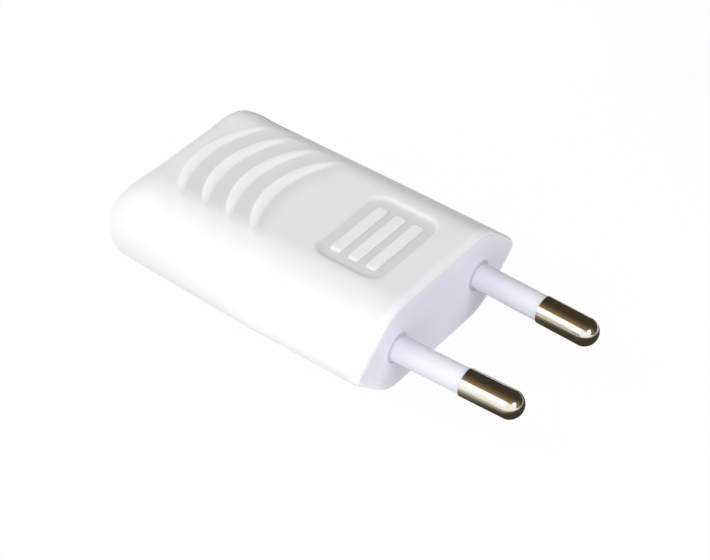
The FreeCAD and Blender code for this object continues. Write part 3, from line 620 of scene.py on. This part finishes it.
class PLUG_OT_collars(Operator):
    """Close the rings round the sleeves with their flared roots"""

    bl_idname = "plug.collars"
    bl_label = "Sleeve collars"

    def execute(self, context):
        sizes = context.scene.plug_collars
        skins = context.scene.plug_plastics
        # The collars' darker white is painted shadow.
        paint = moulded_plastic("collar_plastic", sizes.colour, skins.carrier_roughness, skins)
        for name, side in (("left_collar", 1), ("right_collar", -1)):
            shape = self.ring(sizes)
            lean = Matrix.Rotation(-side * sizes.lean, 4, "Z")
            root = Matrix.Translation((sizes.face, side * sizes.spread, sizes.height))
            shape.transform(root @ lean)
            mesh = bpy.data.meshes.new(name)
            shape.to_mesh(mesh)
            shape.free()
            mesh.materials.append(paint)
            finished(add_object(name, mesh), "sleeve_plastic")
        return {"FINISHED"}

    def ring(self, sizes):
        """A collar round the X axis, hollow on the side of its sleeve."""
        mid = (sizes.inner + sizes.outer) / 2
        # Places along the pin and out from it: the hollow flare, then the sides in the hole.
        profile = [
            (sizes.flare, sizes.inner),
            (-0.2 * sizes.sunk, 0.5 * (sizes.inner + mid)),
            (-0.75 * sizes.sunk, mid),
            (-sizes.sunk, sizes.outer),
            (-sizes.depth, sizes.outer),
            (-sizes.depth, sizes.inner),
        ]
        shape = bmesh.new()
        ring = [shape.verts.new((along, out, 0.0)) for along, out in profile]
        edges = [shape.edges.new((ring[i - 1], ring[i])) for i in range(len(ring))]
        bmesh.ops.spin(shape, geom=ring + edges, cent=(0.0, 0.0, 0.0), axis=(1.0, 0.0, 0.0),
                       angle=math.tau, steps=COLLAR_STEPS)
        bmesh.ops.remove_doubles(shape, verts=shape.verts, dist=MERGE)
        bmesh.ops.recalc_face_normals(shape, faces=shape.faces)
        for face in shape.faces:
            face.smooth = True
        return shape


class PLUG_OT_seam(Operator):
    """Close the joint round the carrier's plate with a thin lip"""

    bl_idname = "plug.seam"
    bl_label = "Seam lip"

    def execute(self, context):
        sizes = context.scene.plug_seam
        skins = context.scene.plug_plastics
        face = context.scene.plug_collars.face
        middle = Vector((face, 0.0, context.scene.plug_collars.height))
        rim = self.outline(face, middle)
        back = sizes.sunk + sizes.inward
        profile = [(sizes.sunk, sizes.outward), (sizes.sunk, -sizes.inward),
                   (back, -sizes.inward), (back, sizes.outward)]
        lip = bmesh.new()
        rings = []
        for behind, reach in profile:
            step = Vector((behind, 0.0, 0.0))
            rings.append([lip.verts.new(p + (p - middle).normalized() * reach - step)
                          for p in rim])
        for i, ring in enumerate(rings):
            for j in range(len(rim)):
                lip.faces.new((rings[i - 1][j - 1], rings[i - 1][j], ring[j], ring[j - 1]))
        bmesh.ops.recalc_face_normals(lip, faces=lip.faces)
        mesh = bpy.data.meshes.new("seam_lip")
        lip.to_mesh(mesh)
        lip.free()
        mesh.materials.append(
            moulded_plastic("lip_plastic", sizes.colour, skins.hood_roughness, skins))
        finished(add_object("seam_lip", mesh), "hood_plastic")
        return {"FINISHED"}

    def outline(self, face, middle):
        """The points of the plate's outline, one after the other round its middle."""
        shape = merged(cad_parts["pin_carrier"].data)
        plate = {f for f in shape.faces if all(abs(v.co.x - face) < 2 * MERGE for v in f.verts)}
        links = {}
        for edge in shape.edges:
            if sum(f in plate for f in edge.link_faces) == 1:
                for vertex in edge.verts:
                    links.setdefault(vertex, []).append(edge.other_vert(vertex))
        start = max(links, key=lambda vertex: (vertex.co - middle).length)
        walk, before, now = [], None, start
        while now is not start or before is None:
            walk.append(now.co.copy())
            before, now = now, next(v for v in links[now] if v is not before)
        shape.free()
        return walk


class PLUG_OT_pins(Operator):
    """Give the two pins their bright plate"""

    bl_idname = "plug.pins"
    bl_label = "Pins"

    def execute(self, context):
        metals = context.scene.plug_metals
        dress(turned_metal("pin_plate", metals.pin_colour, metals.pin_roughness, metals.turning),
              "left_pin", "right_pin")
        return {"FINISHED"}


class PLUG_OT_screws(Operator):
    """Give the screws their zinc plate"""

    bl_idname = "plug.screws"
    bl_label = "Screws"

    def execute(self, context):
        metals = context.scene.plug_metals
        zinc = turned_metal("screw_plate", metals.screw_colour, metals.screw_roughness,
                            metals.turning)
        dress(zinc, "housing_screw", "left_terminal_screw", "right_terminal_screw",
              "left_clamp_screw", "right_clamp_screw")
        return {"FINISHED"}


def direction(turn, rise):
    """The way to a point at a turn from the near side to the pins and a height, in radians."""
    return Vector((math.sin(turn) * math.cos(rise), -math.cos(turn) * math.cos(rise),
                   math.sin(rise)))


def floor_paint():
    """White ground that stays white in the picture and keeps a soft shadow."""
    finish = Finish("floor_paint")
    matt = finish.node("ShaderNodeBsdfDiffuse", None, {"Color": FLOOR_MATT})
    white = finish.node("ShaderNodeEmission", None, {"Color": WHITE, "Strength": 1.0})
    return finish.surface(finish.node("ShaderNodeMixShader", None,
                                      {0: finish.seen() * FLOOR_SHINE, 1: matt, 2: white}))


Cloth = namedtuple("Cloth", "dark light middle near far")
Card = namedtuple("Card", "name width depth place facing cloth")
Lamp = namedtuple("Lamp", "name power turn rise colour")

# Cloths are dark round their middle and lighter from near to far away from it.
CLOTHS = {
    "dark_cloth": Cloth(dark=(0.04, 0.032, 0.022), light=(0.3, 0.17, 0.06),
                        middle=(0.0, 1.0, 0.3), near=0.9, far=1.5),
    "front_cloth": Cloth(dark=(0.1, 0.08, 0.055), light=(0.22, 0.18, 0.13),
                         middle=(0.6, 0.6, 0.3), near=0.2, far=0.9),
    # Painted shadow: the floor round the pins, dark under them and white further out, seen only in
    # their reflections.
    "dark_rug": Cloth(dark=(0.05, 0.042, 0.03), light=(0.9, 0.88, 0.82),
                      middle=(0.046, 0.0, 0.0), near=0.022, far=0.05),
}
# Painted highlights: the glow of the two cards that put the bright stripe and the bright spot on
# the pins.
HIGHLIGHT_GLOW = (3.0, 2.9, 2.6)
STRIPE_HIGHLIGHT_WAY = direction(math.radians(336.0), math.radians(31.0))
SPOT_HIGHLIGHT_WAY = direction(math.radians(74.0), math.radians(32.0))

# Cards that show only in reflections, above all in those on the pins.
REFLECTED = (
    Card("top_flag", 2.0, 1.64, (0.0, 0.38, 0.5), DOWN, "dark_cloth"),
    Card("far_flag", 2.0, 0.5, (0.0, 1.2, 0.25), NEAR, "dark_cloth"),
    Card("front_flag", 1.3, 0.5, (0.6, 0.55, 0.25), BACK, "front_cloth"),
    # Painted highlights on the pins.
    Card("stripe_card", 0.22, 0.22, HIGHLIGHT_FAR * STRIPE_HIGHLIGHT_WAY, -STRIPE_HIGHLIGHT_WAY, "spot_cloth"),
    Card("spot_card", 0.2, 0.2, HIGHLIGHT_FAR * SPOT_HIGHLIGHT_WAY, -SPOT_HIGHLIGHT_WAY, "spot_cloth"),
    Card("far_rug", 2.0, 1.16, (0.0, 0.61, 0.00001), UP, "dark_cloth"),
    # Painted shadow under the pins, for their reflections.
    Card("floor_rug", 0.13, 0.13, (0.028, 0.0, 0.00002), UP, "dark_rug"),
)
# A card that shades the far side of the sleeves.
SHADE = Card("sleeve_flag", 0.16, 0.1, (0.075, 0.075, 0.05), NEAR, "dark_cloth")

# Lamps, with the stage's property for their power and their turn and rise in degrees.
LAMPS = (
    Lamp("near_lamp", "near_power", 20.0, 12.0, WHITE),
    Lamp("key_lamp", "key_power", 300.0, 38.0, WHITE),
    Lamp("front_lamp", "front_power", 85.0, 32.0, COOL),
)


class PLUG_OT_stage(Operator):
    """Set up the white ground, the soft lamps and the camera"""

    bl_idname = "plug.stage"
    bl_label = "Stage"

    def execute(self, context):
        stage = context.scene.plug_stage
        ground = Card("floor", FLOOR_SIDE, FLOOR_SIDE, (0.0, 0.0, FLOOR_HEIGHT), UP, "floor_paint")
        paints = {"floor_paint": floor_paint()}
        for name, cloth in CLOTHS.items():
            paints[name] = self.cloth_paint(name, cloth)
        # Painted highlights: an even glow, brighter than the white sky, seen only in reflections.
        paints["spot_cloth"] = self.glow_paint("spot_cloth", HIGHLIGHT_GLOW)
        self.card(ground, paints)
        for card in REFLECTED:
            made = self.card(card, paints)
            made.visible_camera = False
            made.visible_diffuse = False
            made.visible_shadow = False
            made.visible_transmission = False
        self.card(SHADE, paints).visible_camera = False
        for lamp in LAMPS:
            self.lamp(stage, lamp)
        self.sky(context, stage)
        self.camera(context, stage)
        context.scene.view_settings.view_transform = "Standard"
        return {"FINISHED"}

    def cloth_paint(self, name, cloth):
        """Cloth with a glow of its own, so that no lamp changes it."""
        finish = Finish(name)
        away = finish.node("ShaderNodeVectorMath", {"operation": "DISTANCE"},
                           {0: finish.place, 1: cloth.middle}, "Value")
        shade = finish.blend(cloth.dark, cloth.light, away.step(cloth.near, cloth.far))
        return finish.surface(finish.node("ShaderNodeEmission", None,
                                          {"Color": shade, "Strength": 1.0}))

    def glow_paint(self, name, colour):
        """An even glow."""
        finish = Finish(name)
        return finish.surface(finish.node("ShaderNodeEmission", None,
                                          {"Color": colour, "Strength": 1.0}))

    def card(self, card, paints):
        """A flat card of the stage."""
        half = Vector((card.width / 2, card.depth / 2))
        corners = [(-half.x, -half.y, 0.0), (half.x, -half.y, 0.0),
                   (half.x, half.y, 0.0), (-half.x, half.y, 0.0)]
        turn = Vector(card.facing).to_track_quat("Z", "Y").to_matrix().to_4x4()
        mesh = bpy.data.meshes.new(card.name)
        mesh.from_pydata(corners, [], [(0, 1, 2, 3)])
        mesh.transform(Matrix.Translation(card.place) @ turn)
        mesh.materials.append(paints[card.cloth])
        made = add_object(card.name, mesh)
        return made

    def lamp(self, stage, lamp):
        """A square soft lamp aimed at the plug, left out of its reflections."""
        light = bpy.data.lights.new(lamp.name, "AREA")
        light.energy = getattr(stage, lamp.power)
        light.size = stage.lamp_side
        light.color = lamp.colour
        way = direction(math.radians(lamp.turn), math.radians(lamp.rise))
        turn = way.to_track_quat("Z", "Y").to_matrix().to_4x4()
        made = add_object(lamp.name, light)
        made.matrix_world = Matrix.Translation(Vector(stage.target) + stage.lamp_far * way) @ turn
        made.visible_glossy = False

    def sky(self, context, stage):
        """An even sky that is dimmer overhead and on the far side, and white where it is seen."""
        world = bpy.data.worlds.new("studio")
        world.use_nodes = True
        context.scene.world = world
        nodes = Nodes(world.node_tree)
        way = nodes.parts(nodes.node("ShaderNodeTexCoord", None, None, "Generated"))
        behind = (DUSK_LEAN[0] * way[1] + DUSK_LEAN[1] * way[2]).step(0.0, DUSK_EDGE)
        level = stage.sky - (stage.sky - stage.dusk) * behind
        seen = nodes.seen()
        ground = nodes.tree.nodes["Background"]
        nodes.put(ground.inputs["Color"], WHITE)
        nodes.put(ground.inputs["Strength"], seen + (1.0 - seen) * level)

    def camera(self, context, stage):
        """The camera at the photograph's angle."""
        back = direction(stage.azimuth, stage.elevation)
        right = Vector((math.cos(stage.azimuth), math.sin(stage.azimuth), 0.0))
        up = back.cross(right)
        turn = Matrix((right, up, back)).transposed() @ Matrix.Rotation(stage.roll, 3, "Z")
        lens = bpy.data.cameras.new("camera")
        lens.sensor_width = SENSOR
        lens.sensor_fit = "HORIZONTAL"
        lens.lens = stage.lens
        lens.clip_start = CLIP_START
        made = add_object("camera", lens)
        place = Vector(stage.target) + stage.distance * back
        made.matrix_world = Matrix.Translation(place) @ turn.to_4x4()
        context.scene.camera = made


class PLUG_PT_panel(Panel):
    """The plug's pieces, in the order in which they are made"""

    bl_idname = "PLUG_PT_panel"
    bl_label = "Flat mains plug"
    bl_space_type = "VIEW_3D"
    bl_region_type = "UI"
    bl_category = "Plug"

    def draw(self, context):
        for operator in OPERATORS:
            self.layout.operator(operator.bl_idname)


GROUPS = {
    "plug_plastics": PlugPlastics,
    "plug_hood": PlugHood,
    "plug_collars": PlugCollars,
    "plug_seam": PlugSeam,
    "plug_metals": PlugMetals,
    "plug_label": PlugLabel,
    "plug_stage": PlugStage,
}
OPERATORS = (PLUG_OT_hood, PLUG_OT_label, PLUG_OT_carrier, PLUG_OT_collars, PLUG_OT_seam,
             PLUG_OT_pins, PLUG_OT_screws, PLUG_OT_stage)
CLASSES = (*GROUPS.values(), *OPERATORS, PLUG_PT_panel)


def register():
    for kind in CLASSES:
        bpy.utils.register_class(kind)
    for name, group in GROUPS.items():
        setattr(bpy.types.Scene, name, PointerProperty(type=group))


def unregister():
    for name in GROUPS:
        delattr(bpy.types.Scene, name)
    for kind in reversed(CLASSES):
        bpy.utils.unregister_class(kind)


def main():
    register()
    bpy.ops.plug.hood()
    bpy.ops.plug.label()
    bpy.ops.plug.carrier()
    bpy.ops.plug.collars()
    bpy.ops.plug.seam()
    bpy.ops.plug.pins()
    bpy.ops.plug.screws()
    bpy.ops.plug.stage()


if __name__ == "__main__":
    main()
